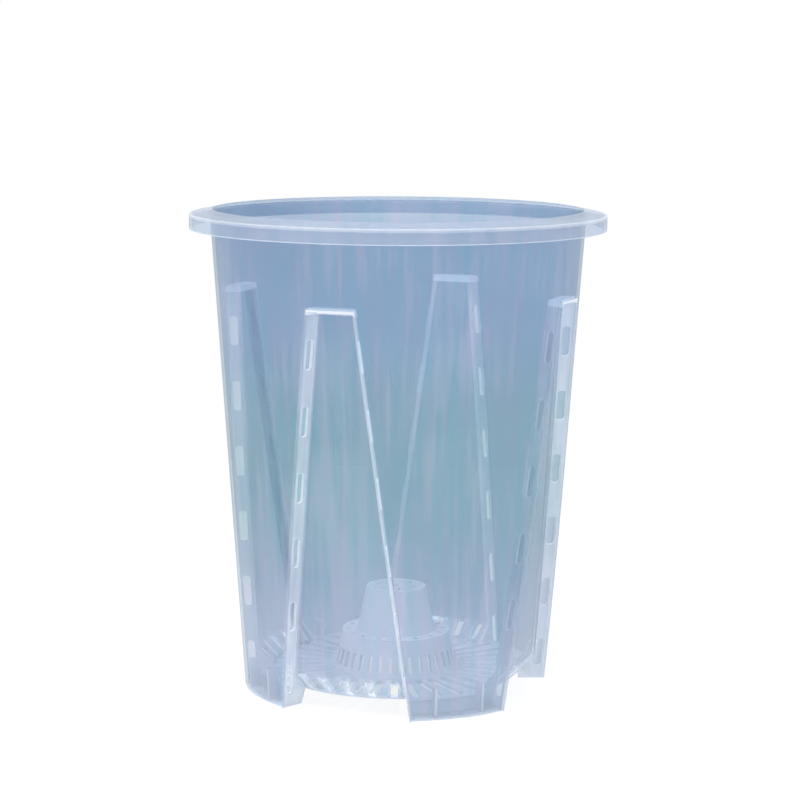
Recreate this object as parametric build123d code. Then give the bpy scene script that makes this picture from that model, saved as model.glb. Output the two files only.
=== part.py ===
from build123d import *

import os
from math import cos, floor, radians, sin, tan

# A clear slotted orchid pot, in millimetres. It stands on Z = 0 with its axis on Z.
# The front is -Y. A conical wall carries a rim with a skirt. Four tall recesses are let into the wall,
# and between them the wall runs down as four staves that end in hollow feet. The sides of the recesses
# and the floor are slotted for air and water, and a stepped hollow cone stands in the middle.

os.makedirs("parts", exist_ok=True)

# Overall sizes
rim_diameter = 150.0
flange_width = 7.8
pot_height = 175.0
wall_draft = 3.92
wall = 1.1
overrun = 5.0

# Rim: a flange that falls outwards from the mouth, with a skirt round its edge
flange_fall = 1.7
flange_wall = 1.3
skirt_height = 5.4
skirt_wall = 1.3
rim_edge_radius = 0.45
rim_edge_wall_share = 0.42

# Recesses: depth is measured inwards from the outside of the wall
recess_count = 4
recess_headroom = 30.9
recess_top_angle = 15.1
recess_foot_angle = 51.2
recess_depth = 5.0
cheek_splay = 22.0
cheek_wall = 1.1
panel_wall = 1.1
ledge_wall = 1.1
panel_turn_in = 6.2
panel_turn_height = 6.8
cheek_foot_taper = 1.2

# Slots in the cheeks, one above the other from the top down
cheek_slot_height = 10.8
cheek_slot_width = 2.9
cheek_slot_pitch = 23.7
cheek_slot_top_land = 9.9
cheek_slot_foot_land = 3.0
cheek_slot_edge_land = 1.7
cheek_slot_corner = 0.7

# Floor, its radial slots, and the windows where they turn up the recess panels
floor_bottom = 5.4
floor_wall = 1.2
floor_slots = 36
floor_slot_width = 2.8
floor_slot_start_land = 2.8
floor_slot_end_land = 2.6
window_height = 5.0
windows_per_recess = 5

# Feet
sole_wall = 1.2
sole_hole_length = 5.0
sole_hole_width = 2.6
rib_wall = 1.3
rib_top = 12.0
rib_angle = 9.5

# Stepped cone in the middle of the floor
cone_wall = 1.1
cone_skirt_share = 0.406
cone_skirt_draft = 13.0
cone_skirt_rise = 13.4
cone_step_share = 0.235
cone_step_wall = 1.2
cone_neck_draft = 12.5
cone_neck_rise = 16.2
cone_cap_wall = 1.2

# Holes of the cone
skirt_slots = 36
skirt_slot_width = 1.5
skirt_slot_height = 5.6
skirt_slot_rise = 1.8
step_holes = 16
step_hole_share = 0.42
cap_holes = 6
cap_hole_share = 0.2
cap_hole_ring_share = 0.6

# Worked out from the sizes above
rim_radius = rim_diameter / 2
mouth_radius = rim_radius - flange_width
under_flange = pot_height - flange_wall
flange_edge = pot_height - flange_fall
skirt_top = flange_edge - flange_wall
skirt_bottom = flange_edge - skirt_height
rim_edge = min(rim_edge_radius, wall * rim_edge_wall_share)
wall_slope = tan(radians(wall_draft))
foot_radius = mouth_radius - wall_slope * skirt_bottom
recess_top = pot_height - recess_headroom
wall_split = recess_top + ledge_wall
pocket_back = recess_depth + panel_wall
floor_top = floor_bottom + floor_wall
panel_turn_top = floor_bottom + panel_turn_height
window_slope = panel_turn_in / panel_turn_height
step_top = floor_top + cone_skirt_rise
step_bottom = step_top - cone_step_wall
cone_skirt_radius = foot_radius * cone_skirt_share
cone_step_width = cone_skirt_radius * cone_step_share
cone_step_radius = cone_skirt_radius - (step_bottom - floor_top) * tan(radians(cone_skirt_draft))
cone_neck_radius = cone_step_radius - cone_step_width
cap_top = step_top + cone_neck_rise
cap_radius = cone_neck_radius - cone_neck_rise * tan(radians(cone_neck_draft))
quarter_turn = 360.0 / recess_count
floor_slot_turn = 360.0 / floor_slots


def wall_radius(height):
    """Outside of the wall at a height."""
    return foot_radius + wall_slope * height


def turned(points):
    """Solid turned about Z from an outline of radius and height."""
    outline = Polyline(*[(radius, 0, height) for radius, height in points], close=True)
    return revolve(make_face(outline), axis=Axis.Z)


def wall_ring(near, far, low, high):
    """Ring that follows the wall's slope, from near to far behind its outside."""
    return turned([
        (wall_radius(low) - far, low),
        (wall_radius(low) - near, low),
        (wall_radius(high) - near, high),
        (wall_radius(high) - far, high),
    ])


def cone_ring(low_radius, high_radius, low, high):
    """Ring of the middle cone, with its wall inwards from its outside."""
    return turned([
        (low_radius - cone_wall, low),
        (low_radius, low),
        (high_radius, high),
        (high_radius - cone_wall, high),
    ])


def panel_radius(height, back):
    """A recess panel's face at a height: back is 0 for the outer face and panel_wall for the inner."""
    turned_in = max(0.0, panel_turn_top - height) * window_slope
    return wall_radius(height) - recess_depth - back - turned_in


def edge_point(side, angle, height):
    """Where a recess edge lies on the wall, on the side of +Y (1) or -Y (-1)."""
    half = radians(angle / 2)
    return Vector(wall_radius(height) * cos(half), side * wall_radius(height) * sin(half), height)


def cheek_ends(side):
    """Lowest and highest points of a cheek's outer edge, for the recess that looks along +X."""
    return edge_point(side, recess_foot_angle, 0), edge_point(side, recess_top_angle, recess_top)


def cheek_plane(side, grow):
    """Face of a cheek, moved out of the recess by grow."""
    low, high = cheek_ends(side)
    inward = Vector(-cos(radians(cheek_splay)), -side * sin(radians(cheek_splay)), 0)
    out = inward.cross(high - low).normalized() * side
    return Plane(origin=low + out * grow, x_dir=inward, z_dir=out)


def blank(top):
    """Block on the +X side of the pot, from under the feet up to top."""
    size = Box(rim_radius, rim_diameter, top + overrun, align=(Align.MIN, Align.CENTER, Align.MIN))
    return Pos(0, 0, -overrun) * size


def wedge(grow, top):
    """Room between the two cheek planes of the recess that looks along +X."""
    room = blank(top)
    for side in (1, -1):
        room = split(room, bisect_by=cheek_plane(side, grow), keep=Keep.BOTTOM)
    return room


def between_recesses(ring):
    """The part of a ring between the recess along +X and the next one along +Y."""
    quarter = Box(rim_radius, rim_radius, pot_height, align=(Align.MIN, Align.MIN, Align.MIN))
    stop = wedge(cheek_wall, pot_height)
    return (ring & quarter) - stop - Rot(0, 0, quarter_turn) * stop


def save(shape, name):
    """Writes one node."""
    shape.label = name
    export_step(shape, f"parts/{name}.step")


# Rim
def rounded(outline, free):
    """Outline of a rim part with its free corners rounded."""
    return fillet([corner for corner in outline.vertices() if free(corner)], rim_edge)


def make_rim_flange():
    """Flange that falls outwards from the mouth, with the pot's lip at its inner edge."""
    outline = make_face(Polyline(
        (wall_radius(under_flange) - wall, 0, under_flange),
        (wall_radius(pot_height) - wall, 0, pot_height),
        (wall_radius(pot_height), 0, pot_height),
        (rim_radius, 0, flange_edge),
        (rim_radius, 0, skirt_top),
        (wall_radius(under_flange), 0, under_flange),
        close=True,
    ))
    mid_flange = (mouth_radius + rim_radius) / 2
    at_lip = under_flange + rim_edge
    at_edge = skirt_top + rim_edge
    outline = rounded(outline, lambda corner: corner.Z > (at_edge if corner.X > mid_flange else at_lip))
    return revolve(outline, axis=Axis.Z)


def make_rim_skirt():
    """Skirt that hangs from the flange's outer edge."""
    skirt_wall_share = skirt_wall / (rim_radius - wall_radius(under_flange))
    inner_top = skirt_top + (under_flange - skirt_top) * skirt_wall_share
    outline = make_face(Polyline(
        (rim_radius - skirt_wall, 0, skirt_bottom),
        (rim_radius, 0, skirt_bottom),
        (rim_radius, 0, skirt_top),
        (rim_radius - skirt_wall, 0, inner_top),
        close=True,
    ))
    outline = rounded(outline, lambda corner: corner.Z < skirt_bottom + rim_edge)
    return revolve(outline, axis=Axis.Z)


# Recess
def make_ledge():
    """Roof of the recess along +X."""
    ring = wall_ring(0, pocket_back, recess_top, wall_split)
    return ring & wedge(cheek_wall, pot_height)


def make_panel():
    """Back of the recess along +X. It turns in at its foot, where the windows are."""
    heights = (floor_bottom, panel_turn_top, recess_top)
    outer = [(panel_radius(height, 0), height) for height in heights]
    inner = [(panel_radius(height, panel_wall), height) for height in heights]
    panel = turned(outer + inner[::-1]) & wedge(0, recess_top)
    round_end = floor_slot_width / 2
    flat_height = window_height - round_end
    first = -(windows_per_recess - 1) / 2
    for index in range(windows_per_recess):
        flat = Pos(0, 0, floor_top) * Box(
            rim_radius, floor_slot_width, flat_height, align=(Align.MIN, Align.CENTER, Align.MIN))
        arch = Pos(0, 0, floor_top + flat_height) * Rot(0, 90, 0) * Cylinder(
            round_end, rim_radius, align=(Align.CENTER, Align.CENTER, Align.MIN))
        panel -= Rot(0, 0, (first + index) * floor_slot_turn) * (flat + arch)
    return panel


def make_cheek(side):
    """One slotted side of the recess along +X, from the roof down to the ground."""
    inner_face = cheek_plane(side, 0)
    slab = split(blank(recess_top), bisect_by=inner_face, keep=Keep.TOP)
    slab = split(slab, bisect_by=cheek_plane(side, cheek_wall), keep=Keep.BOTTOM)
    turn_in_radius = panel_radius(floor_bottom, panel_wall)
    cheek = slab & turned([
        (turn_in_radius + cheek_foot_taper, 0),
        (turn_in_radius, floor_bottom),
        (panel_radius(panel_turn_top, panel_wall), panel_turn_top),
        (panel_radius(recess_top, panel_wall), recess_top),
        (wall_radius(recess_top), recess_top),
        (wall_radius(0), 0),
    ])
    low, high = cheek_ends(side)
    run = (high - low).normalized()
    per_height = (high - low).length / recess_top
    inset = cheek_slot_edge_land + cheek_slot_width / 2
    first_bottom = recess_top - cheek_slot_top_land - cheek_slot_height
    slots = 1 + floor((first_bottom - cheek_slot_foot_land) / cheek_slot_pitch)
    for index in range(slots):
        height = first_bottom + cheek_slot_height / 2 - index * cheek_slot_pitch
        centre = low + run * (height * per_height) + inner_face.x_dir * inset
        across = inner_face.z_dir.cross(run)
        place = Plane(origin=centre, x_dir=across, z_dir=inner_face.z_dir)
        outline = RectangleRounded(cheek_slot_width, cheek_slot_height, cheek_slot_corner)
        cheek -= extrude(place * outline, amount=overrun, both=True)
    return cheek


# Floor
def make_floor():
    """Slotted floor. It meets the recess panels, the cheeks and the risers of the feet."""
    hole_radius = cone_skirt_radius - cone_wall
    plate = turned([
        (hole_radius, floor_bottom),
        (wall_radius(floor_bottom) - pocket_back, floor_bottom),
        (wall_radius(floor_top) - pocket_back, floor_top),
        (hole_radius, floor_top),
    ])
    recess_foot = wedge(cheek_wall, pot_height) & turned([
        (panel_radius(floor_bottom, panel_wall), floor_bottom),
        (rim_radius, floor_bottom),
        (rim_radius, floor_top),
        (panel_radius(floor_top, panel_wall), floor_top),
    ])
    for index in range(recess_count):
        plate -= Rot(0, 0, index * quarter_turn) * recess_foot
    start = cone_skirt_radius + floor_slot_start_land
    closed_end = wall_radius(floor_bottom) - pocket_back - floor_slot_end_land
    half_open = (windows_per_recess - 1) / 2
    per_quarter = floor_slots / recess_count
    round_end = floor_slot_width / 2
    for index in range(floor_slots):
        step = index % per_quarter
        opens = min(step, per_quarter - step) <= half_open
        end = rim_radius if opens else closed_end
        bar = Pos(start + round_end, 0, 0) * Box(
            end - start - floor_slot_width, floor_slot_width, floor_top + overrun,
            align=(Align.MIN, Align.CENTER, Align.MIN))
        round_cut = Cylinder(
            round_end, floor_top + overrun, align=(Align.CENTER, Align.CENTER, Align.MIN))
        cutter = bar + Pos(start + round_end, 0, 0) * round_cut + Pos(end - round_end, 0, 0) * round_cut
        plate -= Rot(0, 0, index * floor_slot_turn) * cutter
    return plate


# Feet
def make_riser():
    """Inner wall of a hollow foot."""
    return between_recesses(wall_ring(recess_depth, pocket_back, 0, floor_top))


def make_sole():
    """Bottom of a hollow foot, with one drain hole."""
    sole = between_recesses(wall_ring(wall, recess_depth, 0, sole_wall))
    hole = extrude(SlotOverall(sole_hole_length, sole_hole_width), amount=overrun, both=True)
    hole_radius = wall_radius(0) - (wall + recess_depth) / 2
    return sole - Rot(0, 0, quarter_turn / 2) * Pos(hole_radius, 0, 0) * Rot(0, 0, 90) * hole


def make_ribs():
    """Two upright ribs inside a foot, from its riser to the stave."""
    ring = wall_ring(wall, recess_depth, sole_wall, rib_top)
    plate = Box(rim_radius, rib_wall, pot_height, align=(Align.MIN, Align.CENTER, Align.MIN))
    middle = quarter_turn / 2
    return Compound([ring & Rot(0, 0, middle + turn) * plate for turn in (-rib_angle, rib_angle)])


# Cone
def make_cone_skirt():
    """Lower, wider part of the cone, with upright slots near its foot."""
    skirt = cone_ring(cone_skirt_radius, cone_step_radius, floor_top, step_bottom)
    place = Pos(0, 0, floor_top + skirt_slot_rise + skirt_slot_height / 2) * Rot(0, 90, 0)
    slot = place * extrude(SlotOverall(skirt_slot_height, skirt_slot_width), amount=rim_radius)
    for index in range(skirt_slots):
        skirt -= Rot(0, 0, (index + 1 / 2) * 360.0 / skirt_slots) * slot
    return skirt


def make_cone_step():
    """Ring where the cone steps in, with a row of round holes."""
    ring = turned([
        (cone_neck_radius - cone_wall, step_bottom),
        (cone_step_radius, step_bottom),
        (cone_step_radius, step_top),
        (cone_neck_radius - cone_wall, step_top),
    ])
    hole = Pos((cone_step_radius + cone_neck_radius) / 2, 0, step_top) * Cylinder(
        cone_step_width * step_hole_share / 2, step_top)
    for index in range(step_holes):
        ring -= Rot(0, 0, index * 360.0 / step_holes) * hole
    return ring


def make_cone_neck():
    """Upper, narrower part of the cone."""
    return cone_ring(cone_neck_radius, cap_radius, step_top, cap_top - cone_cap_wall)


def make_cone_cap():
    """Flat top of the cone, with one hole in the middle and a ring of holes round it."""
    cap = Pos(0, 0, cap_top) * Cylinder(
        cap_radius, cone_cap_wall, align=(Align.CENTER, Align.CENTER, Align.MAX))
    hole = Pos(0, 0, cap_top) * Cylinder(cap_radius * cap_hole_share / 2, cap_top)
    cap -= hole
    for index in range(cap_holes):
        cap -= Rot(0, 0, index * 360.0 / cap_holes) * Pos(cap_radius * cap_hole_ring_share, 0, 0) * hole
    return cap


save(make_rim_flange(), "rim_flange")
save(make_rim_skirt(), "rim_skirt")
save(wall_ring(0, wall, wall_split, under_flange), "upper_wall")
save(make_floor(), "floor")
save(make_cone_skirt(), "cone_skirt")
save(make_cone_step(), "cone_step")
save(make_cone_neck(), "cone_neck")
save(make_cone_cap(), "cone_cap")

# The four recesses by where they look, and each stave and foot on from its recess, anticlockwise
recess_parts = {
    "recess_ledge": make_ledge(),
    "recess_panel": make_panel(),
    "recess_cheek_a": make_cheek(-1),
    "recess_cheek_b": make_cheek(1),
}
stave_parts = {
    "wall_stave": between_recesses(wall_ring(0, wall, 0, wall_split)),
    "foot_riser": make_riser(),
    "foot_sole": make_sole(),
    "foot_ribs": make_ribs(),
}
recess_names = ("right", "back", "left", "front")
stave_names = ("back_right", "back_left", "front_left", "front_right")
for turns in range(recess_count):
    turn = Rot(0, 0, turns * quarter_turn)
    for name, shape in recess_parts.items():
        save(turn * shape, f"{name}_{recess_names[turns]}")
    for name, shape in stave_parts.items():
        save(turn * shape, f"{name}_{stave_names[turns]}")
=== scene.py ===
# %% [markdown]
# # A clear slotted orchid pot
#
# The real pot is one thin moulding of clear, faintly milky polypropylene. Its engineering model is
# loaded first as a fixed frame, and every piece made here takes its place from that frame.

# %% Load the frame and the tools
import math

import bmesh
import bpy
from mathutils import Matrix, Vector


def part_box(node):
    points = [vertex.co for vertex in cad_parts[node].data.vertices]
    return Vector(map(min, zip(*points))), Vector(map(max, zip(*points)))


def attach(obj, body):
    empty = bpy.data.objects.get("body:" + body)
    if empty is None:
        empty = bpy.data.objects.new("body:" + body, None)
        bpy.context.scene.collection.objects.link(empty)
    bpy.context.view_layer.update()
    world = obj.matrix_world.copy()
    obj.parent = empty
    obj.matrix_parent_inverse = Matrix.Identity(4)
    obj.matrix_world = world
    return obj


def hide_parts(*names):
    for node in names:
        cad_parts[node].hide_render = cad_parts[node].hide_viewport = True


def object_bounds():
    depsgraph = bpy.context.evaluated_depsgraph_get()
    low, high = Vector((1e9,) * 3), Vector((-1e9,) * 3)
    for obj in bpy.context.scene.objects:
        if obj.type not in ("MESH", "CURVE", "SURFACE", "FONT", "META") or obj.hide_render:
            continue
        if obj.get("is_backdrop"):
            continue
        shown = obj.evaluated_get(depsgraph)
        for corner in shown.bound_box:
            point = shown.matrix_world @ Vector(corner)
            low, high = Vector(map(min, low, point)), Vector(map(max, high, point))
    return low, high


MM = 0.001
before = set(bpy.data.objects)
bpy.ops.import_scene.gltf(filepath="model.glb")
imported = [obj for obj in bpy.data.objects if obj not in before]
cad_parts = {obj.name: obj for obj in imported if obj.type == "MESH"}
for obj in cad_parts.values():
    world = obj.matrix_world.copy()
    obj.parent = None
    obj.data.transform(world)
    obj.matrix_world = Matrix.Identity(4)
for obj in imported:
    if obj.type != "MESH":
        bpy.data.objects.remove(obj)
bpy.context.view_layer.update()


# %% [markdown]
# ## Studio
#
# The photograph shows the pot alone on white. A wide pale floor carries the soft shadow, and the world
# behind it is white to the camera and to mirrors, but only a gentle light for the pot itself. A bright
# white world would give the same background, but it would also wash the pot out.

# %% Camera at the photograph's angle
CAMERA_DISTANCE = 867.07 * MM
CAMERA_AZIMUTH = math.radians(20.57)
CAMERA_ELEVATION = math.radians(9.636)
CAMERA_ROLL = math.radians(0.313)
TARGET_HEIGHT = 90.0 * MM
FOCAL_PIXELS = 2373.09
PICTURE_SIDE = 800
TARGET_PIXEL = (396.93, 441.38)
SENSOR_MM = 36.0


def make_camera():
    """Camera on the photograph's line of sight, with its long lens."""
    data = bpy.data.cameras.new("camera")
    data.sensor_width = SENSOR_MM
    data.lens = SENSOR_MM * FOCAL_PIXELS / PICTURE_SIDE
    data.shift_x = (PICTURE_SIDE / 2 - TARGET_PIXEL[0]) / PICTURE_SIDE
    data.shift_y = (TARGET_PIXEL[1] - PICTURE_SIDE / 2) / PICTURE_SIDE
    camera = bpy.data.objects.new("camera", data)
    back = Vector((
        math.sin(CAMERA_AZIMUTH) * math.cos(CAMERA_ELEVATION),
        -math.cos(CAMERA_AZIMUTH) * math.cos(CAMERA_ELEVATION),
        math.sin(CAMERA_ELEVATION),
    ))
    camera.location = Vector((0, 0, TARGET_HEIGHT)) + back * CAMERA_DISTANCE
    aim = (-back).to_track_quat("-Z", "Y").to_matrix().to_4x4()
    camera.rotation_euler = (aim @ Matrix.Rotation(CAMERA_ROLL, 4, "Z")).to_euler()
    bpy.context.scene.collection.objects.link(camera)
    bpy.context.scene.camera = camera
    return camera


camera = make_camera()
print("lens:", round(camera.data.lens, 2))
print("shift:", round(camera.data.shift_x, 4), round(camera.data.shift_y, 4))


# %% Node helpers
def add(tree, kind, **values):
    """One node, with its named sockets or properties set."""
    node = tree.nodes.new(kind)
    for key, value in values.items():
        if key in node.inputs:
            node.inputs[key].default_value = value
        else:
            setattr(node, key, value)
    return node


def wire(tree, *pairs):
    """Links between sockets, given as pairs of output and input."""
    for out, into in pairs:
        tree.links.new(out, into)


def math_node(tree, operation, first, second, clamp=False):
    """Arithmetic on sockets or plain numbers."""
    node = add(tree, "ShaderNodeMath", operation=operation, use_clamp=clamp)
    for socket, value in zip(node.inputs, (first, second)):
        if isinstance(value, (int, float)):
            socket.default_value = value
        else:
            wire(tree, (value, socket))
    return node.outputs[0]


def mix_shaders(tree, share, first, second):
    """Blend of two shaders by a socket."""
    node = add(tree, "ShaderNodeMixShader")
    wire(tree, (share, node.inputs[0]), (first, node.inputs[1]), (second, node.inputs[2]))
    return node.outputs[0]


# %% White to the eye, gentle as a light
def camera_rays(tree):
    """One where the camera, a mirror or a clear solid looks, and zero for the light on surfaces."""
    path = add(tree, "ShaderNodeLightPath")
    seen = math_node(tree, "MAXIMUM", path.outputs["Is Camera Ray"], path.outputs["Is Glossy Ray"])
    return math_node(tree, "MAXIMUM", seen, path.outputs["Is Transmission Ray"])


WHITE = (1, 1, 1, 1)
SKY = (0.93, 0.96, 1.0, 1)
SKY_STRENGTH = 0.55


def make_world():
    """White behind the pot, a plain level of light on it."""
    world = bpy.data.worlds.new("studio_world")
    world.use_nodes = True
    tree = world.node_tree
    tree.nodes.clear()
    light = add(tree, "ShaderNodeBackground", Color=SKY, Strength=SKY_STRENGTH)
    white = add(tree, "ShaderNodeBackground", Color=WHITE, Strength=1.0)
    out = add(tree, "ShaderNodeOutputWorld")
    shown = mix_shaders(tree, camera_rays(tree), light.outputs[0], white.outputs[0])
    wire(tree, (shown, out.inputs["Surface"]))
    bpy.context.scene.world = world
    return world


world = make_world()
print(world.name, "lights the pot at:", SKY_STRENGTH)

# %% Studio floor
PAPER = (0.9, 0.91, 0.92, 1)
FLOOR_SIDE = 8.0
SHADOW_INNER = 0.1
SHADOW_OUTER = 0.45
GLOW_UNDER_POT = 0.8


def new_material(name):
    """Empty node material, ready to be wired."""
    material = bpy.data.materials.new(name)
    material.use_nodes = True
    material.node_tree.nodes.clear()
    return material, material.node_tree


def map_range(tree, source, *ends):
    """Stretches a socket's values from one pair of ends to another pair."""
    names = ("From Min", "From Max", "To Min", "To Max")
    node = add(tree, "ShaderNodeMapRange", **dict(zip(names, ends)))
    wire(tree, (source, node.inputs["Value"]))
    return node.outputs[0]


def make_floor_material():
    """White to the eye, darkened a little near the pot where it keeps light off the floor."""
    material, tree = new_material("studio_floor")
    paper = add(tree, "ShaderNodeBsdfDiffuse", Color=PAPER)
    glow = add(tree, "ShaderNodeEmission", Color=WHITE, Strength=1.0)
    place = add(tree, "ShaderNodeTexCoord")
    away = add(tree, "ShaderNodeVectorMath", operation="LENGTH")
    wire(tree, (place.outputs["Object"], away.inputs[0]))
    fade = map_range(tree, away.outputs["Value"], SHADOW_INNER, SHADOW_OUTER, GLOW_UNDER_POT, 1.0)
    seen = math_node(tree, "MULTIPLY", camera_rays(tree), fade)
    shown = mix_shaders(tree, seen, paper.outputs[0], glow.outputs[0])
    out = add(tree, "ShaderNodeOutputMaterial")
    wire(tree, (shown, out.inputs["Surface"]))
    return material


def make_floor():
    """Flat floor under the feet."""
    mesh = bpy.data.meshes.new("studio_floor")
    shape = bmesh.new()
    bmesh.ops.create_grid(shape, x_segments=1, y_segments=1, size=FLOOR_SIDE / 2)
    shape.to_mesh(mesh)
    shape.free()
    mesh.materials.append(make_floor_material())
    floor = bpy.data.objects.new("studio_floor", mesh)
    bpy.context.scene.collection.objects.link(floor)
    floor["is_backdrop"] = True
    return floor


studio_floor = make_floor()
bpy.context.scene.view_settings.view_transform = "Standard"
print("studio floor side in m:", round(studio_floor.dimensions.x, 2))

# %% [markdown]
# ### Lamps
#
# Clear plastic shows its shape by soft, wide glints. Three large square lamps give them: a key lamp
# above the front, a weaker one from the right, and one from behind that lights the far walls. Small
# lamps or a sun would give hard bright spots instead.

# %% Three soft lamps
POT_MIDDLE = (0, 0, 0.09)
# Each lamp has its place, the side of its square and its watts.
LAMPS = {
    "key_lamp": ((-0.3, -0.55, 1.25), 0.7, 17.0),
    "fill_lamp": ((1.1, -0.5, 0.7), 0.9, 5.0),
    "back_lamp": ((0.1, 0.75, 1.3), 0.8, 8.0),
}


def make_lamp(name, place, size, power):
    """Soft square lamp turned to the middle of the pot."""
    data = bpy.data.lights.new(name, "AREA")
    data.shape = "SQUARE"
    data.size = size
    data.energy = power
    lamp = bpy.data.objects.new(name, data)
    lamp.location = place
    lamp.rotation_euler = (Vector(POT_MIDDLE) - Vector(place)).to_track_quat("-Z", "Y").to_euler()
    bpy.context.scene.collection.objects.link(lamp)


for lamp_name, (lamp_place, lamp_size, lamp_power) in LAMPS.items():
    make_lamp(lamp_name, lamp_place, lamp_size, lamp_power)
    print(lamp_name, "watts:", lamp_power)


# %% [markdown]
# ## Clear plastic
#
# The wall is thin and clear. What stands behind it shows through unbent, a little darker and bluer, and
# a soft gloss lies on top. That darkening and blue is mostly painted shade, standing for darker surroundings
# seen through the wall, and only partly the plastic's own faint tint. Thick places such as folded edges,
# the rim and the feet look milky instead, because they scatter light. Real glass nodes could bend the light,
# but a thin moulding hardly does, so a tinted see-through film is mixed with a milky skin. An attribute
# called milk says how much of the skin each point of a piece gets, from 0 for clear to 1 for nearly solid.

# %% Streaks and clouds that the plastic left as it flowed into its mould
STREAK_SCALE = (330, 330, 11)
STREAK_DETAIL = 3.0
STREAK_ROUGHNESS = 0.55
CLOUD_SCALE = 26.0
CLOUD_DETAIL = 2.0


def add_streaks(tree, place):
    """Fine upright streaks, a noise that is stretched in height."""
    stretch = add(tree, "ShaderNodeMapping", vector_type="POINT")
    stretch.inputs["Scale"].default_value = STREAK_SCALE
    noise = add(tree, "ShaderNodeTexNoise", Scale=1.0, Detail=STREAK_DETAIL, Roughness=STREAK_ROUGHNESS)
    wire(tree, (place, stretch.inputs["Vector"]), (stretch.outputs[0], noise.inputs["Vector"]))
    return noise.outputs["Fac"]


def add_clouds(tree, place):
    """Wide soft patches."""
    noise = add(tree, "ShaderNodeTexNoise", Scale=CLOUD_SCALE, Detail=CLOUD_DETAIL)
    wire(tree, (place, noise.inputs["Vector"]))
    return noise.outputs["Fac"]


print("streaks are longer than wide by:", STREAK_SCALE[0] / STREAK_SCALE[2])

# %% How milky the plastic is at a point
STREAK_MILK = 0.16
CLOUD_MILK = 0.12
MEAN_UNEVENNESS = 0.14
SLANT_MILK = 0.1
SLANT_POWER = 3.0
LOW_PART = 0.05
LOW_PART_MILK = 0.06


def add_milk(tree, height, facing, streaks, clouds, extra_milk):
    """The piece's own milk and some extra, made uneven, and more at a slant and near the ground."""
    own = add(tree, "ShaderNodeAttribute", attribute_name="milk").outputs["Fac"]
    streaky = math_node(tree, "MULTIPLY", streaks, STREAK_MILK)
    cloudy = math_node(tree, "MULTIPLY", clouds, CLOUD_MILK)
    uneven = math_node(tree, "SUBTRACT", math_node(tree, "ADD", streaky, cloudy), MEAN_UNEVENNESS)
    milk = math_node(tree, "ADD", math_node(tree, "ADD", own, extra_milk), uneven)
    slanting = math_node(tree, "POWER", facing, SLANT_POWER)
    milk = math_node(tree, "ADD", milk, math_node(tree, "MULTIPLY", slanting, SLANT_MILK))
    low = map_range(tree, height, LOW_PART, 0.0, 0.0, LOW_PART_MILK)
    return math_node(tree, "ADD", milk, low, clamp=True)


print("most that streaks and clouds add:", round(STREAK_MILK + CLOUD_MILK - MEAN_UNEVENNESS, 2))

# %% [markdown]
# The film is the clear part. Its tint changes softly with height, from a blue top over a greener middle
# to a pale foot. These colours are mostly painted shade, standing for darker surroundings seen through
# the wall, and only partly the plastic's own faint tint. Where the wall is seen edge-on the light crosses
# more plastic, so the film is darker there and the outline stays crisp. For the light that falls on surfaces
# the film is nearly clear, because else the inside of the pot would look far too dark with only a few lamps
# round it.

# %% Colours of the film, mostly painted shade for darker surroundings seen through
# The film's darkness and its change with height are painted shade for darker surroundings seen through the
# wall; only a faint tint is the plastic's own.
FILM_TOP = (0.71, 0.775, 0.845)
FILM_MIDDLE = (0.69, 0.79, 0.805)
FILM_LOW = (0.745, 0.79, 0.83)
FILM_FOOT = (0.76, 0.795, 0.84)
FILM_AND_SHADE_STOPS = (
    (0.0, FILM_FOOT), (0.1, FILM_FOOT), (0.22, FILM_LOW),
    (0.38, FILM_MIDDLE), (0.58, FILM_MIDDLE), (0.75, FILM_TOP),
)
STREAK_BLUE = (0.90, 0.99, 1.0)
STREAK_VIOLET = (1.0, 0.955, 0.985)
STREAK_STOPS = ((0.38, STREAK_BLUE), (0.62, STREAK_VIOLET))

pot_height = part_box("rim_flange")[1].z
print("pot height in mm:", round(pot_height / MM, 1))


def ramp(tree, source, *stops):
    """Colour ramp of (place, colour) stops."""
    node = add(tree, "ShaderNodeValToRGB")
    elements = node.color_ramp.elements
    while len(elements) < len(stops):
        elements.new(0.5)
    for element, (place, colour) in zip(elements, stops):
        element.position = place
        element.color = (*colour, 1)
    wire(tree, (source, node.inputs["Fac"]))
    return node.outputs["Color"]


# %% What shows through the film
FILM_MILKY = (0.86, 0.90, 0.94)
FILM_EDGE_ON = (0.36, 0.44, 0.53)
EDGE_ON_POWER = 6.0
EDGE_ON_SHARE = 0.8
FILM_TO_LIGHT = (0.95, 0.965, 0.98)


def mix_colour(tree, share, first, second):
    """Blend of two colours, sockets or plain values, by a socket."""
    node = add(tree, "ShaderNodeMix", data_type="RGBA")
    wire(tree, (share, node.inputs["Factor"]))
    for socket, value in ((node.inputs[6], first), (node.inputs[7], second)):
        if isinstance(value, tuple):
            socket.default_value = (*value, 1)
        else:
            wire(tree, (value, socket))
    return node.outputs[2]


def multiply_colour(tree, first, second):
    """Product of two colour sockets."""
    node = add(tree, "ShaderNodeMix", data_type="RGBA", blend_type="MULTIPLY")
    node.inputs["Factor"].default_value = 1.0
    wire(tree, (first, node.inputs[6]), (second, node.inputs[7]))
    return node.outputs[2]


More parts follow.
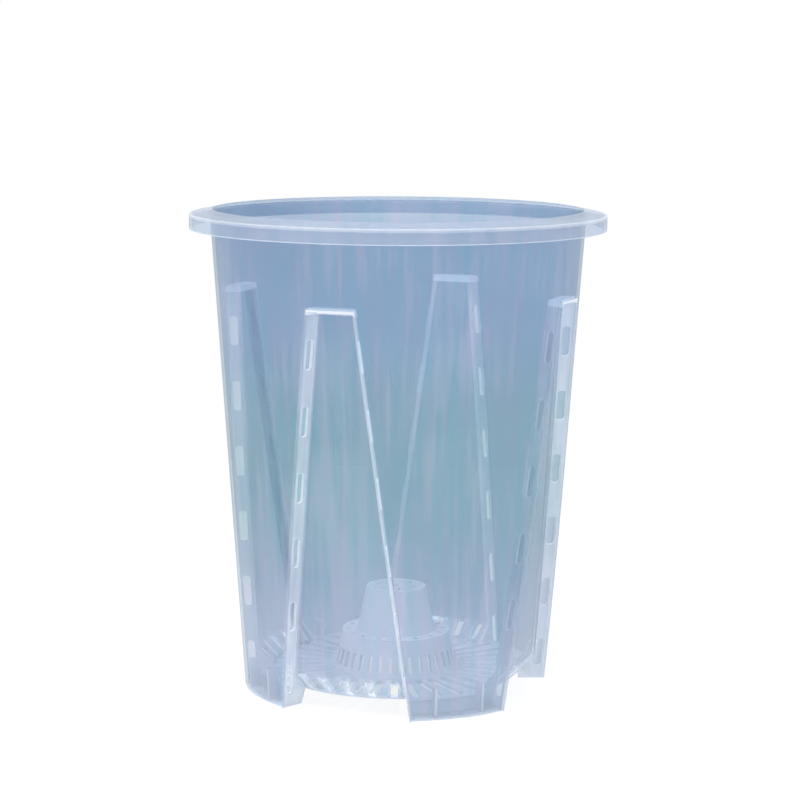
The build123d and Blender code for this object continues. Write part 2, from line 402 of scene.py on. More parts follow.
def add_film_tint_and_shade(tree, height, facing, streaks, milk):
    """Painted shade for darker surroundings seen through, with the plastic's faint tint: by height and
    streaks, paler with milk, darker edge-on.
    """
    share = map_range(tree, height, 0.0, pot_height)
    colour = ramp(tree, share, *FILM_AND_SHADE_STOPS)
    colour = multiply_colour(tree, colour, ramp(tree, streaks, *STREAK_STOPS))
    colour = mix_colour(tree, milk, colour, FILM_MILKY)
    edge_on = math_node(tree, "POWER", facing, EDGE_ON_POWER)
    colour = mix_colour(tree, math_node(tree, "MULTIPLY", edge_on, EDGE_ON_SHARE), colour, FILM_EDGE_ON)
    path = add(tree, "ShaderNodeLightPath")
    to_light = math_node(tree, "MAXIMUM", path.outputs["Is Shadow Ray"], path.outputs["Is Diffuse Ray"])
    return mix_colour(tree, to_light, colour, FILM_TO_LIGHT)


print("light let through to surfaces:", FILM_TO_LIGHT)

# %% Milky skin and gloss
# A thin skin's dark blue is partly painted shade, like the film's, for darker surroundings seen through the
# wall.
THIN_MILK_AND_SHADE = (0.34, 0.44, 0.60)
MILK_THICK = (0.92, 0.935, 0.985)
WHITENESS_GAIN = 2.8
WHITENESS_POWER = 0.5
SKIN_ROUGHNESS = 0.3
PLASTIC_IOR = 1.49
GLOSS_ROUGHNESS = 0.07
RIPPLE_STRENGTH = 0.05


def add_skin(tree, milk):
    """The milky part: a dark blue where there is little of it, partly painted shade like the film's, whiter
    where there is more.
    """
    gained = math_node(tree, "MINIMUM", math_node(tree, "MULTIPLY", milk, WHITENESS_GAIN), 1.0)
    whiteness = math_node(tree, "POWER", gained, WHITENESS_POWER)
    skin = add(tree, "ShaderNodeBsdfPrincipled", Roughness=SKIN_ROUGHNESS, IOR=PLASTIC_IOR)
    wire(tree, (mix_colour(tree, whiteness, THIN_MILK_AND_SHADE, MILK_THICK), skin.inputs["Base Color"]))
    return skin.outputs[0]


def add_gloss(tree, streaks):
    """Clean gloss on top, with a trace of ripple from the streaks."""
    gloss = add(tree, "ShaderNodeBsdfGlossy", Color=WHITE, Roughness=GLOSS_ROUGHNESS)
    ripple = add(tree, "ShaderNodeBump", Strength=RIPPLE_STRENGTH, Distance=MM)
    wire(tree, (streaks, ripple.inputs["Height"]), (ripple.outputs[0], gloss.inputs["Normal"]))
    return gloss.outputs[0]


print("whitest from a milk of:", round(1 / WHITENESS_GAIN, 2))

# %% The whole plastic
COVER_THIN = 0.13
COVER_THICK = 0.8
GLOSS_STRAIGHT = 0.035
GLOSS_EDGE_ON = 0.2
GLOSS_POWER = 4.0


def make_plastic(name, extra_milk):
    """Clear moulded plastic, milky where the piece's milk attribute says so, and by some extra all over."""
    material, tree = new_material(name)
    place = add(tree, "ShaderNodeTexCoord").outputs["Object"]
    split = add(tree, "ShaderNodeSeparateXYZ")
    wire(tree, (place, split.inputs[0]))
    height = split.outputs["Z"]
    facing = add(tree, "ShaderNodeLayerWeight", Blend=0.5).outputs["Facing"]
    streaks = add_streaks(tree, place)
    milk = add_milk(tree, height, facing, streaks, add_clouds(tree, place), extra_milk)

    film = add(tree, "ShaderNodeBsdfTransparent")
    wire(tree, (add_film_tint_and_shade(tree, height, facing, streaks, milk), film.inputs["Color"]))
    cover = map_range(tree, milk, 0.0, 1.0, COVER_THIN, COVER_THICK)
    inside = mix_shaders(tree, cover, film.outputs[0], add_skin(tree, milk))
    edge_on = math_node(tree, "POWER", facing, GLOSS_POWER)
    shine = math_node(tree, "ADD", math_node(tree, "MULTIPLY", edge_on, GLOSS_EDGE_ON), GLOSS_STRAIGHT)
    outside = mix_shaders(tree, shine, inside, add_gloss(tree, streaks))
    out = add(tree, "ShaderNodeOutputMaterial")
    wire(tree, (outside, out.inputs["Surface"]))
    return material


clear = make_plastic("clear_plastic", 0.0)
print("nodes in the plastic:", len(clear.node_tree.nodes))

# %% Milkier cut edges, and the frame's own meshes
CUT_EDGE_MILK = 0.35

cut_edge = make_plastic("plastic_cut_edge", CUT_EDGE_MILK)
# The frame's meshes get the same plastic, so that any of them that is looked at alone shows it.
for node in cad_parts.values():
    node.data.materials.clear()
    node.data.materials.append(clear)
print("frame meshes given the clear plastic:", len(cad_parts))


# %% [markdown]
# ## The moulded body
#
# On the real pot the wall, the four recesses and the rim are one skin of plastic, folded in and out.
# They could be made as separate plates, but in a clear material every joint between plates would show.
# So the outside skin is drawn as one sheet: a ring of points at the ground that is extruded upwards row
# by row, folded over at the top of each recess and again under the rim. Solidify then gives it its wall.

# %% Sizes of the body, read from the frame
WALL = 1.1 * MM
WELD = WALL / 50
GROUND_RADIUS = 55.695 * MM
RECESS_DEPTH = 5.0 * MM
RECESS_COUNT = 4
CHEEK_SPLAY = math.radians(22.0)
RECESS_FOOT_HALF = math.radians(51.2 / 2)
RECESS_TOP_HALF = math.radians(15.1 / 2)
TURN_IN = 6.2 * MM
TURN_HEIGHT = 6.8 * MM
FOOT_TAPER = 1.2 * MM

under_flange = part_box("upper_wall")[1].z
top_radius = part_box("upper_wall")[1].x
wall_slope = (top_radius - GROUND_RADIUS) / under_flange
panel_low, panel_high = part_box("recess_panel_right")
floor_bottom, recess_top = panel_low.z, panel_high.z
floor_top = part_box("floor")[1].z
turn_top = floor_bottom + TURN_HEIGHT
skirt_low, skirt_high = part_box("rim_skirt")
rim_radius = skirt_high.x
print("recess top and floor in mm:", round(recess_top / MM, 2), round(floor_top / MM, 2))


# %% Radii of the wall and of a recess
def wall_radius(height):
    """Outside of the wall at a height."""
    return GROUND_RADIUS + wall_slope * height


def panel_radius(height):
    """Outer face of a recess panel, which turns in towards the floor."""
    if height < floor_bottom:
        return panel_radius(floor_bottom) + FOOT_TAPER * (1 - height / floor_bottom)
    turned_in = TURN_IN * max(0.0, turn_top - height) / TURN_HEIGHT
    return wall_radius(height) - RECESS_DEPTH - turned_in


for row_name, row_height in (("ground", 0.0), ("recess top", recess_top)):
    radii = wall_radius(row_height), panel_radius(row_height)
    print("wall and panel radius at the", row_name, "in mm:", [round(r / MM, 2) for r in radii])


# %% Where a recess edge runs
def on_circle(radius, angle, height):
    """Point at a radius, an angle and a height."""
    return Vector((radius * math.cos(angle), radius * math.sin(angle), height))


cheek_inward = Vector((-math.cos(CHEEK_SPLAY), -math.sin(CHEEK_SPLAY), 0))
edge_foot = on_circle(GROUND_RADIUS, RECESS_FOOT_HALF, 0)
edge_head = on_circle(wall_radius(recess_top), RECESS_TOP_HALF, recess_top)


def recess_edge(height):
    """Edge of the recess that looks along +X, on its +Y side."""
    line = edge_foot.lerp(edge_head, height / recess_top)
    half = line.xy.dot(cheek_inward.xy)
    gap = line.xy.length_squared - wall_radius(height) ** 2
    root = math.sqrt(half ** 2 - gap)
    step = min((-half - root, -half + root), key=abs)
    point = line + cheek_inward * step
    point.z = height
    return point


def along_to_radius(start, direction, radius):
    """How far from start along a level direction the given radius is met first."""
    half = start.xy.dot(direction.xy)
    gap = start.xy.length_squared - radius ** 2
    return -half - math.sqrt(half ** 2 - gap)


def cheek_length(height):
    """Width of the cheek from the wall's outside to the panel's outer face."""
    return along_to_radius(recess_edge(height), cheek_inward, panel_radius(height))


for row_height in (0, floor_bottom, turn_top, recess_top):
    edge = recess_edge(row_height)
    print("height", round(row_height / MM, 1), "edge", [round(v / MM, 2) for v in edge],
          "cheek", round(cheek_length(row_height) / MM, 2))


# %% [markdown]
# ### Columns and rows of the sheet
#
# A slot can only be cut cleanly where rows and columns of points frame it. So the columns are listed
# first, from the middle of a recess over its cheek to the middle of the wall, and then the rows. Extra
# columns close to each fold keep its milkiness in a narrow band, and hold the shape of its rounded edge.

# %% Columns for half a quarter of the pot
FOLD_GUARD = 1.1 * MM
BAND = 0.5 * MM
BAND_END = 1.0 * MM
WALL_COLUMNS = 10
SLOT_NEAR = 1.7 * MM
SLOT_FAR = 4.6 * MM
SLOT_CORNER = 0.7 * MM
WINDOW_HALF = 1.4 * MM
WINDOW_ANGLES = [math.radians(angle) for angle in (0, 10, 20)]
WINDOW_SHARES = (-1, -0.6, 0, 0.6, 1)
BETWEEN_WINDOWS = math.radians(5)
PANEL_END = math.radians(22)
window_turn = WINDOW_HALF / panel_radius((floor_top + turn_top) / 2)


def panel_angles():
    """Angles of the panel's columns at its foot, from the middle outwards."""
    angles = {0.0}
    for middle in WINDOW_ANGLES:
        angles.update(round(middle + share * window_turn, 6) for share in WINDOW_SHARES)
        angles.add(round(middle + BETWEEN_WINDOWS, 6))
    return sorted(angle for angle in angles if 0 <= angle < PANEL_END)


cheek_columns = [("cheek", SLOT_FAR), ("cheek", SLOT_NEAR), ("cheek", FOLD_GUARD), ("cheek", 0)]
half_columns = [("panel", angle) for angle in panel_angles()]
half_columns += [("panel_guard", BAND_END), ("panel_guard", BAND), ("cheek_end", 0)]
half_columns += cheek_columns
half_columns += [("wall_guard", BAND), ("wall_guard", BAND_END)]
half_columns += [("wall", index / WALL_COLUMNS) for index in range(1, WALL_COLUMNS + 1)]
mirrored_half = [(-1, *column) for column in half_columns[:0:-1]]
columns = mirrored_half[1:] + [(1, *column) for column in half_columns]
COLUMN_COUNT = len(columns)
print("columns in a quarter:", COLUMN_COUNT)

# %% Rows up to the top of the recesses
SLOT_HEIGHT = 10.8 * MM
SLOT_PITCH = 23.7 * MM
SLOT_TOP_LAND = 9.9 * MM
SLOT_COUNT = 6
WINDOW_HEIGHT = 5.0 * MM
LEDGE_BAND = 0.9 * MM
LEDGE_BAND_END = 1.5 * MM
FOOT_GUARD = 0.8 * MM

slot_rows = []
for slot in range(SLOT_COUNT):
    slot_top = recess_top - SLOT_TOP_LAND - slot * SLOT_PITCH
    slot_rows.append((slot_top - SLOT_HEIGHT, slot_top))
slot_ends = [end for pair in slot_rows for end in pair]
window_row = floor_top + WINDOW_HEIGHT
low_rows = {0.0, FOOT_GUARD, floor_bottom, floor_top, window_row, turn_top, recess_top, *slot_ends}
low_rows |= {recess_top - LEDGE_BAND_END, recess_top - LEDGE_BAND}
low_rows |= {low + SLOT_CORNER for low, high in slot_rows} | {high - SLOT_CORNER for low, high in slot_rows}
low_rows = sorted(low_rows)
print("rows up to the recess top:", len(low_rows))
print("lowest slot in mm:", [round(v / MM, 2) for v in slot_rows[-1]])


# A column further from a window's middle than this share of the window's half-width is past it.
PAST_WINDOW = 1.01


def arch_height(angle):
    """Height of the windows' upper edge at an angle from the recess's middle: round over each window."""
    across = min(abs(angle - middle) for middle in WINDOW_ANGLES) / window_turn
    if across > PAST_WINDOW:
        return window_row
    return window_row - WINDOW_HALF * (1 - math.sqrt(max(0.0, 1 - across ** 2)))


# %% Place of a column at a height
def angle_of(point):
    """Angle of a point round the pot's axis."""
    return math.atan2(point.y, point.x)


def corner_of(height):
    """Where a cheek meets the panel."""
    return recess_edge(height) + cheek_inward * cheek_length(height)


def guard_angle(height):
    """Angle of the panel's last free column, just inside its corner."""
    return angle_of(corner_of(height)) - BAND_END / panel_radius(height)


def panel_point(angle, height):
    """A panel column, which leans with the recess's edges above the part that turns in."""
    if abs(height - window_row) < WELD:
        height = arch_height(angle)
    share = guard_angle(height) / guard_angle(turn_top) if height > turn_top else 1.0
    return on_circle(panel_radius(height), angle * share, height)


def cheek_point(across, height):
    """A cheek column. It steps towards the slot's middle at a slot's ends, so the slot is rounded."""
    if across in (SLOT_NEAR, SLOT_FAR) and any(abs(height - end) < WELD for end in slot_ends):
        across += SLOT_CORNER if across == SLOT_NEAR else -SLOT_CORNER
    return recess_edge(height) + cheek_inward * across


def half_point(kind, value, height):
    """Place of a column on the +Y half of the recess that looks along +X."""
    if kind == "panel":
        return panel_point(value, height)
    if kind == "panel_guard":
        angle = angle_of(corner_of(height)) - value / panel_radius(height)
        return on_circle(panel_radius(height), angle, height)
    if kind == "cheek_end":
        return corner_of(height)
    if kind == "cheek":
        return cheek_point(value, height)
    edge_angle = angle_of(recess_edge(height))
    if kind == "wall_guard":
        return on_circle(wall_radius(height), edge_angle + value / wall_radius(height), height)
    quarter = math.pi / RECESS_COUNT
    return on_circle(wall_radius(height), edge_angle + (quarter - edge_angle) * value, height)


def quarter_turn(number):
    """Turn from the recess that looks along +X to the recess of a column."""
    return Matrix.Rotation(number // COLUMN_COUNT * math.tau / RECESS_COUNT, 3, "Z")


def sheet_point(number, height):
    """Place of a column of the whole sheet, counted round the pot."""
    side, kind, value = columns[number % COLUMN_COUNT]
    point = half_point(kind, value, height)
    point.y *= side
    return quarter_turn(number) @ point


print("first point of the sheet in mm:", [round(v / MM, 2) for v in sheet_point(0, 0)])

# %% Start and extrude a sheet
def start_sheet(total, place):
    """Ring of numbered points, each put where place says. Returns the sheet and the ring's edges."""
    sheet = bmesh.new()
    column = sheet.verts.layers.int.new("column")
    sheet.verts.layers.float.new("milk")
    ring = bmesh.ops.create_circle(sheet, segments=total, radius=GROUND_RADIUS)["verts"]
    # The circle's edges run against the order of its points, so the points are counted backwards.
    for number, vert in enumerate(reversed(ring)):
        vert[column] = number
        vert.co = place(number)
    return sheet, list(sheet.edges)


def extrude_row(sheet, edges, place):
    """Extrudes edges once and puts the new points where place says. Returns the new edges."""
    new = bmesh.ops.extrude_edge_only(sheet, edges=edges)["geom"]
    for vert in (item for item in new if isinstance(item, bmesh.types.BMVert)):
        vert.co = place(vert)
    return [item for item in new if isinstance(item, bmesh.types.BMEdge)]


print("points in a row of the body's sheet:", COLUMN_COUNT * RECESS_COUNT)


# %% Fold the roof over each recess
def edges_within(edges, inside):
    """The edges with both ends where inside is true."""
    return [edge for edge in edges if all(inside(vert) for vert in edge.verts)]


def ledge_point(number, kind, value):
    """Place on a recess's roof: the row that meets the cheeks at that column of theirs."""
    corner = half_point("cheek_end", 0, recess_top)
    end = half_point(kind, value, recess_top)
    middle = quarter_turn(number)
    local = middle.inverted() @ sheet_point(number, recess_top)
    share = angle_of(local) / angle_of(corner)
    return middle @ on_circle(end.xy.length, share * angle_of(end), recess_top)


def fold_ledges(sheet, edges, kinds):
    """Extrudes the top of each panel outwards in steps that meet the cheeks' own points."""
    column = sheet.verts.layers.int["column"]

    def in_panel(vert):
        return kinds[vert[column]] in ("panel", "panel_guard", "cheek_end")

    ledge = edges_within(edges, in_panel)
    for kind, value in cheek_columns:
        ledge = extrude_row(sheet, ledge, lambda vert: ledge_point(vert[column], kind, value))
    bmesh.ops.remove_doubles(sheet, verts=sheet.verts, dist=WELD)


print("steps across a recess's roof:", len(cheek_columns))

# %% [markdown]
# ### Milkiness of the body
#
# Wherever the real wall is folded or ends, there is more plastic along the line of sight, and the eye
# sees a pale band. The bands are painted on the points as an attribute, because a texture by height or
# angle couldn't follow the slanting folds. Cut ends of the wall get a milkier copy of the plastic.

# %% Milk along folds, ledges and openings
LEDGE_MILK = 0.7
CHEEK_MILK = 0.29
PANEL_MILK = 0.02
OPENING_MILK = 0.15
FOLD_MILK = 0.28
EDGE_MILK = 0.13
GROUND_MILK = 0.9


def milk_at(vert, kind, value):
    """How milky the plastic is at a point below the recesses' top."""
    in_recess = kind in ("panel", "panel_guard", "cheek_end", "cheek")
    if in_recess and vert.co.z > recess_top - LEDGE_BAND - WELD:
        return LEDGE_MILK
    if kind == "cheek":
        return EDGE_MILK if value == 0 else CHEEK_MILK
    if kind == "wall_guard" and value == BAND:
        return EDGE_MILK
    if kind == "cheek_end" or (kind == "panel_guard" and value == BAND):
        return FOLD_MILK
    if vert.co.z < WELD:
        return GROUND_MILK
    if in_recess:
        return OPENING_MILK if vert.is_boundary else PANEL_MILK
    return 0.0


print("milk of a roof, a cheek and a panel:", LEDGE_MILK, CHEEK_MILK, PANEL_MILK)

# %% Rows above the recesses and round the rim
LEDGE_GUARD = 1.2 * MM
RIM_GUARD = 0.35 * MM
# The bend under the flange sits a little low, so that the thickened rim stays inside the frame's box.
RIM_DROP = 0.1 * MM
# Past that bend the sheet's back looks outwards, so its wall grows to the outside and needs room there.
RIM_SHRINK = WALL * 1.01
RIM_MILK = 0.09
SKIRT_MILK = 0.12
RIM_EDGE_MILK = 0.4


def upper_outline():
    """Radius, height and milkiness of each row above the recesses, up the wall and round the rim."""
    top = wall_radius(under_flange)
    bend = under_flange - RIM_DROP
    skirt_inner = rim_radius - RIM_SHRINK
    fall = (under_flange - skirt_high.z) / (skirt_inner - top)
    return [
        (wall_radius(recess_top + LEDGE_GUARD), recess_top + LEDGE_GUARD, 0.0),
        (wall_radius(under_flange - FOLD_GUARD), bend - FOLD_GUARD, 0.0),
        (top, bend, RIM_MILK),
        (top + FOLD_GUARD, bend - FOLD_GUARD * fall, RIM_MILK),
        (skirt_inner - RIM_GUARD, skirt_high.z + RIM_GUARD * fall, RIM_MILK),
        (skirt_inner, skirt_high.z, RIM_EDGE_MILK),
        (skirt_inner, skirt_high.z - RIM_GUARD, SKIRT_MILK),
        (skirt_inner, skirt_low.z + RIM_GUARD, SKIRT_MILK),
        (skirt_inner, skirt_low.z, RIM_EDGE_MILK),
    ]


print("rows above the recesses:", len(upper_outline()))


# %% [markdown]
# ### Openings
#
# Slots in the cheeks and windows above the floor let air to the roots, and below the floor each recess
# is open. They could be cut with booleans, but a thin slanted wall comes out of those with ragged points.
# The rows and columns already frame every opening, so its faces are simply taken out of the sheet.

# %% Slots, windows and the open feet of the recesses
def is_opening(face, column):
    """Whether a face of the sheet lies in a cheek slot, in a window or under a recess's floor."""
    numbers = {vert[column] % COLUMN_COUNT for vert in face.verts}
    low, high = min(vert.co.z for vert in face.verts), max(vert.co.z for vert in face.verts)
    middle = (low + high) / 2
    kinds = {columns[number][1:] for number in numbers}
    names = {kind for kind, _ in kinds}
    if high - low < WELD:
        return False
    if kinds == {("cheek", SLOT_NEAR), ("cheek", SLOT_FAR)}:
        return any(slot_low < middle < slot_high for slot_low, slot_high in slot_rows)
    if names <= {"panel", "panel_guard", "cheek_end"} and high < floor_bottom + WELD:
        return True
    if names == {"panel"} and floor_top < middle < window_row:
        angle = sum(columns[number][0] * columns[number][2] for number in numbers) / len(numbers)
        return any(abs(abs(angle) - window) < window_turn for window in WINDOW_ANGLES)
    return False


def cut_openings(sheet):
    """Removes the faces of all openings below the recesses' top."""
    column = sheet.verts.layers.int["column"]
    gone = [face for face in sheet.faces if is_opening(face, column)]
    bmesh.ops.delete(sheet, geom=gone, context="FACES")
    print("faces cut away for the openings:", len(gone))


# %% The whole sheet
def face_outwards(sheet):
    """Turns the sheet's faces so that the largest looks away from the pot's axis."""
    outer = max(sheet.faces, key=lambda face: face.calc_area())
    if outer.normal.dot(outer.calc_center_median() * Vector((1, 1, 0))) < 0:
        bmesh.ops.reverse_faces(sheet, faces=sheet.faces)


def make_body_sheet():
    """Outside skin of the body, as an open sheet."""
    total = COLUMN_COUNT * RECESS_COUNT
    sheet, edges = start_sheet(total, lambda number: sheet_point(number, 0))
    column = sheet.verts.layers.int["column"]
    milk = sheet.verts.layers.float["milk"]
    for height in low_rows[1:]:
        edges = extrude_row(sheet, edges, lambda vert: sheet_point(vert[column], height))
    fold_ledges(sheet, edges, [columns[number % COLUMN_COUNT][1] for number in range(total)])

    def on_wall(vert):
        return abs(vert.co.z - recess_top) < WELD and vert.co.xy.length > wall_radius(recess_top) - WELD

    edges = edges_within(sheet.edges, on_wall)
    print("edges round the wall above the recesses:", len(edges))
    cut_openings(sheet)
    for vert in sheet.verts:
        _, kind, value = columns[vert[column] % COLUMN_COUNT]
        vert[milk] = milk_at(vert, kind, value)
    for radius, height, milkiness in upper_outline():
        def place(vert):
            vert[milk] = milkiness
            return on_circle(radius, angle_of(vert.co), height)
        edges = extrude_row(sheet, edges, place)
    face_outwards(sheet)
    return sheet


body_sheet = make_body_sheet()
print("faces of the body's sheet:", len(body_sheet.faces))


# %% The body, still without thickness
def add_object(name, shape, *nodes):
    """Makes a piece of a bmesh, puts it on the pot's body and lets it stand for its nodes."""
    mesh = bpy.data.meshes.new(name)
    shape.to_mesh(mesh)
    shape.free()
    mesh.polygons.foreach_set("use_smooth", [True] * len(mesh.polygons))
    mesh.materials.append(clear)
    piece = bpy.data.objects.new(name, mesh)
    bpy.context.scene.collection.objects.link(piece)
    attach(piece, "root")
    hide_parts(*nodes)
    print(name, "made of", len(mesh.polygons), "faces, in place of", len(nodes), "nodes")
    return piece


def nodes_of(*starts):
    """Names of the frame's nodes that begin so."""
    return [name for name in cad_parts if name.startswith(starts)]


body_nodes = nodes_of("rim_", "upper_wall", "wall_stave", "recess_")
body = add_object("pot_body", body_sheet, *body_nodes)


# %% [markdown]
# ### Wall and rounded edges
#
# The real wall is equally thick all over, and its edges are a little round. A second skin could be
# drawn inside the first, but Solidify keeps the wall even round every fold. Bevel then rounds each edge
# that is sharper than a set angle. Both stay modifiers, so that the sheet keeps its few clean faces.

# %% Give the body its wall
def thicken(piece):
    """Gives an open sheet its wall, inwards from its outside, with cut edges of their own plastic."""
    solid = piece.modifiers.new("wall", "SOLIDIFY")
    solid.thickness = WALL
    solid.offset = -1
    solid.material_offset_rim = 1
    piece.data.materials.append(cut_edge)
    solid.use_even_offset = True
    solid.use_quality_normals = True


thicken(body)
print("wall in mm:", round(WALL / MM, 2))

# %% Round the body's edges
ROUND_ANGLE = math.radians(35)
BODY_RADIUS = 0.42 * MM
BODY_RADIUS_STEPS = 3


def round_edges(piece, width, segments=2):
    """Small moulded radius on every sharp edge."""
    bevel = piece.modifiers.new("moulded_radius", "BEVEL")
    bevel.limit_method = "ANGLE"
    bevel.angle_limit = ROUND_ANGLE
    bevel.width = width
    bevel.segments = segments
    bevel.harden_normals = True


round_edges(body, BODY_RADIUS, BODY_RADIUS_STEPS)
low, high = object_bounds()
print("box with the body in mm:", [round(v / MM, 2) for v in (*low, *high)])


# %% [markdown]
# ## The stepped cone
#
# The hollow cone lets air up into the middle of the roots. It is a turned shape, so it could be spun
# from an outline. Here a ring is extruded through the outline's corners instead, because the columns
# between the rows are what the upright slots and the round holes are cut from.

# %% Sizes and columns of the cone
CONE_SLOTS = 36
CONE_SLOT_HALF = math.radians(1.95)
CONE_SLOT_LOW = 1.8 * MM
CONE_SLOT_HIGH = 7.4 * MM

skirt_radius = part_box("cone_skirt")[1].x
step_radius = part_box("cone_step")[1].x
step_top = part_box("cone_step")[1].z
step_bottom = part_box("cone_step")[0].z
neck_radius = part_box("cone_neck")[1].x
cap_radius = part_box("cone_cap")[1].x
cap_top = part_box("cone_cap")[1].z
slot_low, slot_high = floor_top + CONE_SLOT_LOW, floor_top + CONE_SLOT_HIGH
slot_turn = math.tau / CONE_SLOTS
cone_columns = (0, slot_turn / 2 - CONE_SLOT_HALF, slot_turn / 2, slot_turn / 2 + CONE_SLOT_HALF)
print("cone radii in mm:", [round(r / MM, 2) for r in (skirt_radius, step_radius, neck_radius, cap_radius)])


def cone_angle(number):
    """Angle of a column: four to each slot, two of them at its sides."""
    return number // len(cone_columns) * slot_turn + cone_columns[number % len(cone_columns)]


def skirt_radius_at(height):
    """Outside of the cone's lower part."""
    share = (height - floor_top) / (step_bottom - floor_top)
    return skirt_radius + (step_radius - skirt_radius) * share


# %% Outline of the cone
HOLE_RADIUS = 1.1 * MM
SEAM_MILK = 0.95
FLAT_MILK = 0.85
LIP_MILK = 1.0
CAP_MILK = 0.8
STEP_GUARD_SHARE = 0.2
NECK_GUARD_SHARE = 0.15
CAP_OUTER_SHARE = 0.84
CAP_INNER_SHARE = 0.38


def neck_row(share):
    """Row of the neck at a share of the way from the step up to the cap."""
    return neck_radius + (cap_radius - neck_radius) * share, step_top + (cap_top - step_top) * share, LIP_MILK


def cone_outline():
    """Radius, height and milkiness of each row, from the floor up to the hole in the cap."""
    step_guard = (step_radius - neck_radius) * STEP_GUARD_SHARE
    return [
        (skirt_radius, floor_top, SEAM_MILK),
        (skirt_radius_at(slot_low), slot_low, FLAT_MILK),
        (skirt_radius_at(slot_high), slot_high, FLAT_MILK),
        (skirt_radius_at(step_bottom), step_bottom, SEAM_MILK),
        (step_radius, step_top, LIP_MILK),
        (step_radius - step_guard, step_top, FLAT_MILK),
        (neck_radius + step_guard, step_top, FLAT_MILK),
        (neck_radius, step_top, LIP_MILK),
        neck_row(NECK_GUARD_SHARE),
        neck_row(1 - NECK_GUARD_SHARE),
        (cap_radius, cap_top, LIP_MILK),
        (cap_radius * CAP_OUTER_SHARE, cap_top, CAP_MILK),
        (cap_radius * CAP_INNER_SHARE, cap_top, CAP_MILK),
        (HOLE_RADIUS, cap_top, LIP_MILK),
    ]


print("rows of the cone:", len(cone_outline()))


# %% Slots and round holes of the cone
HOLE_INSET = HOLE_RADIUS / 4


def cut_cone_slots(sheet):
    """Removes the two faces of each slot in the cone's lower part."""
    column = sheet.verts.layers.int["column"]
    gone = []
    for face in sheet.faces:
        places = {vert[column] % len(cone_columns) for vert in face.verts}
        if places <= {1, 2, 3} and slot_low < face.calc_center_median().z < slot_high:
            gone.append(face)
    bmesh.ops.delete(sheet, geom=gone, context="FACES")
    print("faces cut away for the cone's slots:", len(gone))


def faces_near(sheet, centre, reach):
    """Flat faces at a hole's height that lie within reach of its centre, sideways."""
    found = []
    for face in sheet.faces:
        middle = face.calc_center_median()
        radii = [vert.co.xy.length for vert in face.verts]
        level = all(abs(vert.co.z - centre.z) < WELD for vert in face.verts)
        sideways = abs(middle.xy.orthogonal().normalized().dot(centre.xy))
        ahead = middle.xy.dot(centre.xy) > 0
        if level and ahead and sideways < reach and min(radii) < centre.xy.length < max(radii):
            found.append(face)
    return found


def round_hole(sheet, centre, reach):
    """Cuts a round hole through the faces that lie side by side at its centre."""
    merged = bmesh.ops.dissolve_faces(sheet, faces=faces_near(sheet, centre, reach))["region"]
    bmesh.ops.inset_individual(sheet, faces=merged, thickness=HOLE_INSET)
    for vert in merged[0].verts:
        vert.co = centre + (vert.co - centre).normalized() * HOLE_RADIUS
    bmesh.ops.delete(sheet, geom=merged, context="FACES")


def ring_of_holes(sheet, count, radius, height, reach):
    """Cuts holes that lie evenly on a circle."""
    for index in range(count):
        round_hole(sheet, on_circle(radius, index * math.tau / count, height), reach)


print("round holes have a radius in mm of:", round(HOLE_RADIUS / MM, 2))

# %% The cone
STEP_HOLES = 16
STEP_HOLE_REACH = HOLE_RADIUS * 1.15
CAP_HOLES = 6
CAP_HOLE_REACH = HOLE_RADIUS * 1.2
CAP_HOLE_SHARE = 0.6
CONE_RADIUS = 0.25 * MM


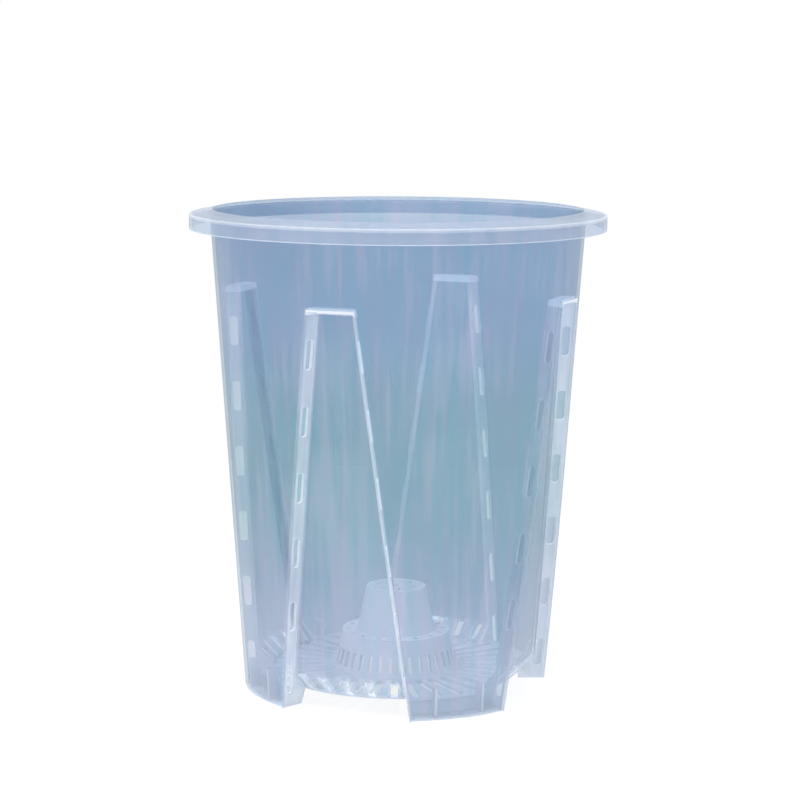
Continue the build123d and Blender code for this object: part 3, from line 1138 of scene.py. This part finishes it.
def make_cone_sheet():
    """Outside skin of the stepped hollow cone, as an open sheet."""
    rows = cone_outline()
    sheet, edges = start_sheet(
        CONE_SLOTS * len(cone_columns), lambda number: on_circle(rows[0][0], cone_angle(number), rows[0][1]))
    column = sheet.verts.layers.int["column"]
    milk = sheet.verts.layers.float["milk"]
    for vert in sheet.verts:
        vert[milk] = rows[0][2]
    for radius, height, milkiness in rows[1:]:
        def place(vert):
            vert[milk] = milkiness
            return on_circle(radius, cone_angle(vert[column]), height)
        edges = extrude_row(sheet, edges, place)
    cut_cone_slots(sheet)
    ring_of_holes(sheet, STEP_HOLES, (step_radius + neck_radius) / 2, step_top, STEP_HOLE_REACH)
    ring_of_holes(sheet, CAP_HOLES, cap_radius * CAP_HOLE_SHARE, cap_top, CAP_HOLE_REACH)
    face_outwards(sheet)
    return sheet


cone = add_object("centre_cone", make_cone_sheet(), *nodes_of("cone_"))
thicken(cone)
round_edges(cone, CONE_RADIUS)


# %% [markdown]
# ## The floor and the feet
#
# The floor is a flat plate with thirty-six round-ended slots, and each foot is a pocket with a sole, an
# inner wall and two ribs. They could be drawn again, but their shapes in the frame are right already.
# They only arrive as loose triangles with knife edges, so a merged copy of each is cleaned up and its
# edges are rounded.

# %% Floor plate, from a merged copy of the frame's own shape
FINE_WELD = WALL / 500
FLAT_ANGLE = math.radians(0.5)
FLOOR_MILK = 0.45
FLOOR_RADIUS = 0.22 * MM


def merged_copy(parts):
    """One bmesh of some frame nodes, welded, with the milkiness given for each."""
    shape = bmesh.new()
    milk = shape.verts.layers.float.new("milk")
    for node, milkiness in parts:
        earlier = set(shape.verts)
        shape.from_mesh(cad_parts[node].data)
        added = [vert for vert in shape.verts if vert not in earlier]
        for vert in added:
            vert[milk] = milkiness
        bmesh.ops.remove_doubles(shape, verts=added, dist=FINE_WELD)
    bmesh.ops.dissolve_limit(shape, angle_limit=FLAT_ANGLE, verts=shape.verts, edges=shape.edges)
    return shape


floor_plate = add_object("floor_plate", merged_copy([("floor", FLOOR_MILK)]), "floor")
round_edges(floor_plate, FLOOR_RADIUS)

# %% Feet
FOOT_MILK = {"foot_riser": 0.36, "foot_sole": 0.7, "foot_ribs": 0.5}
FOOT_RADIUS = 0.2 * MM


def make_foot(corner):
    """Pocket of one foot: inner wall, sole with its drain hole, and two ribs."""
    parts = [(f"{part}_{corner}", milkiness) for part, milkiness in FOOT_MILK.items()]
    piece = add_object(f"foot_pocket_{corner}", merged_copy(parts), *[node for node, _ in parts])
    round_edges(piece, FOOT_RADIUS)


for foot_corner in ("front_right", "back_right", "back_left", "front_left"):
    make_foot(foot_corner)
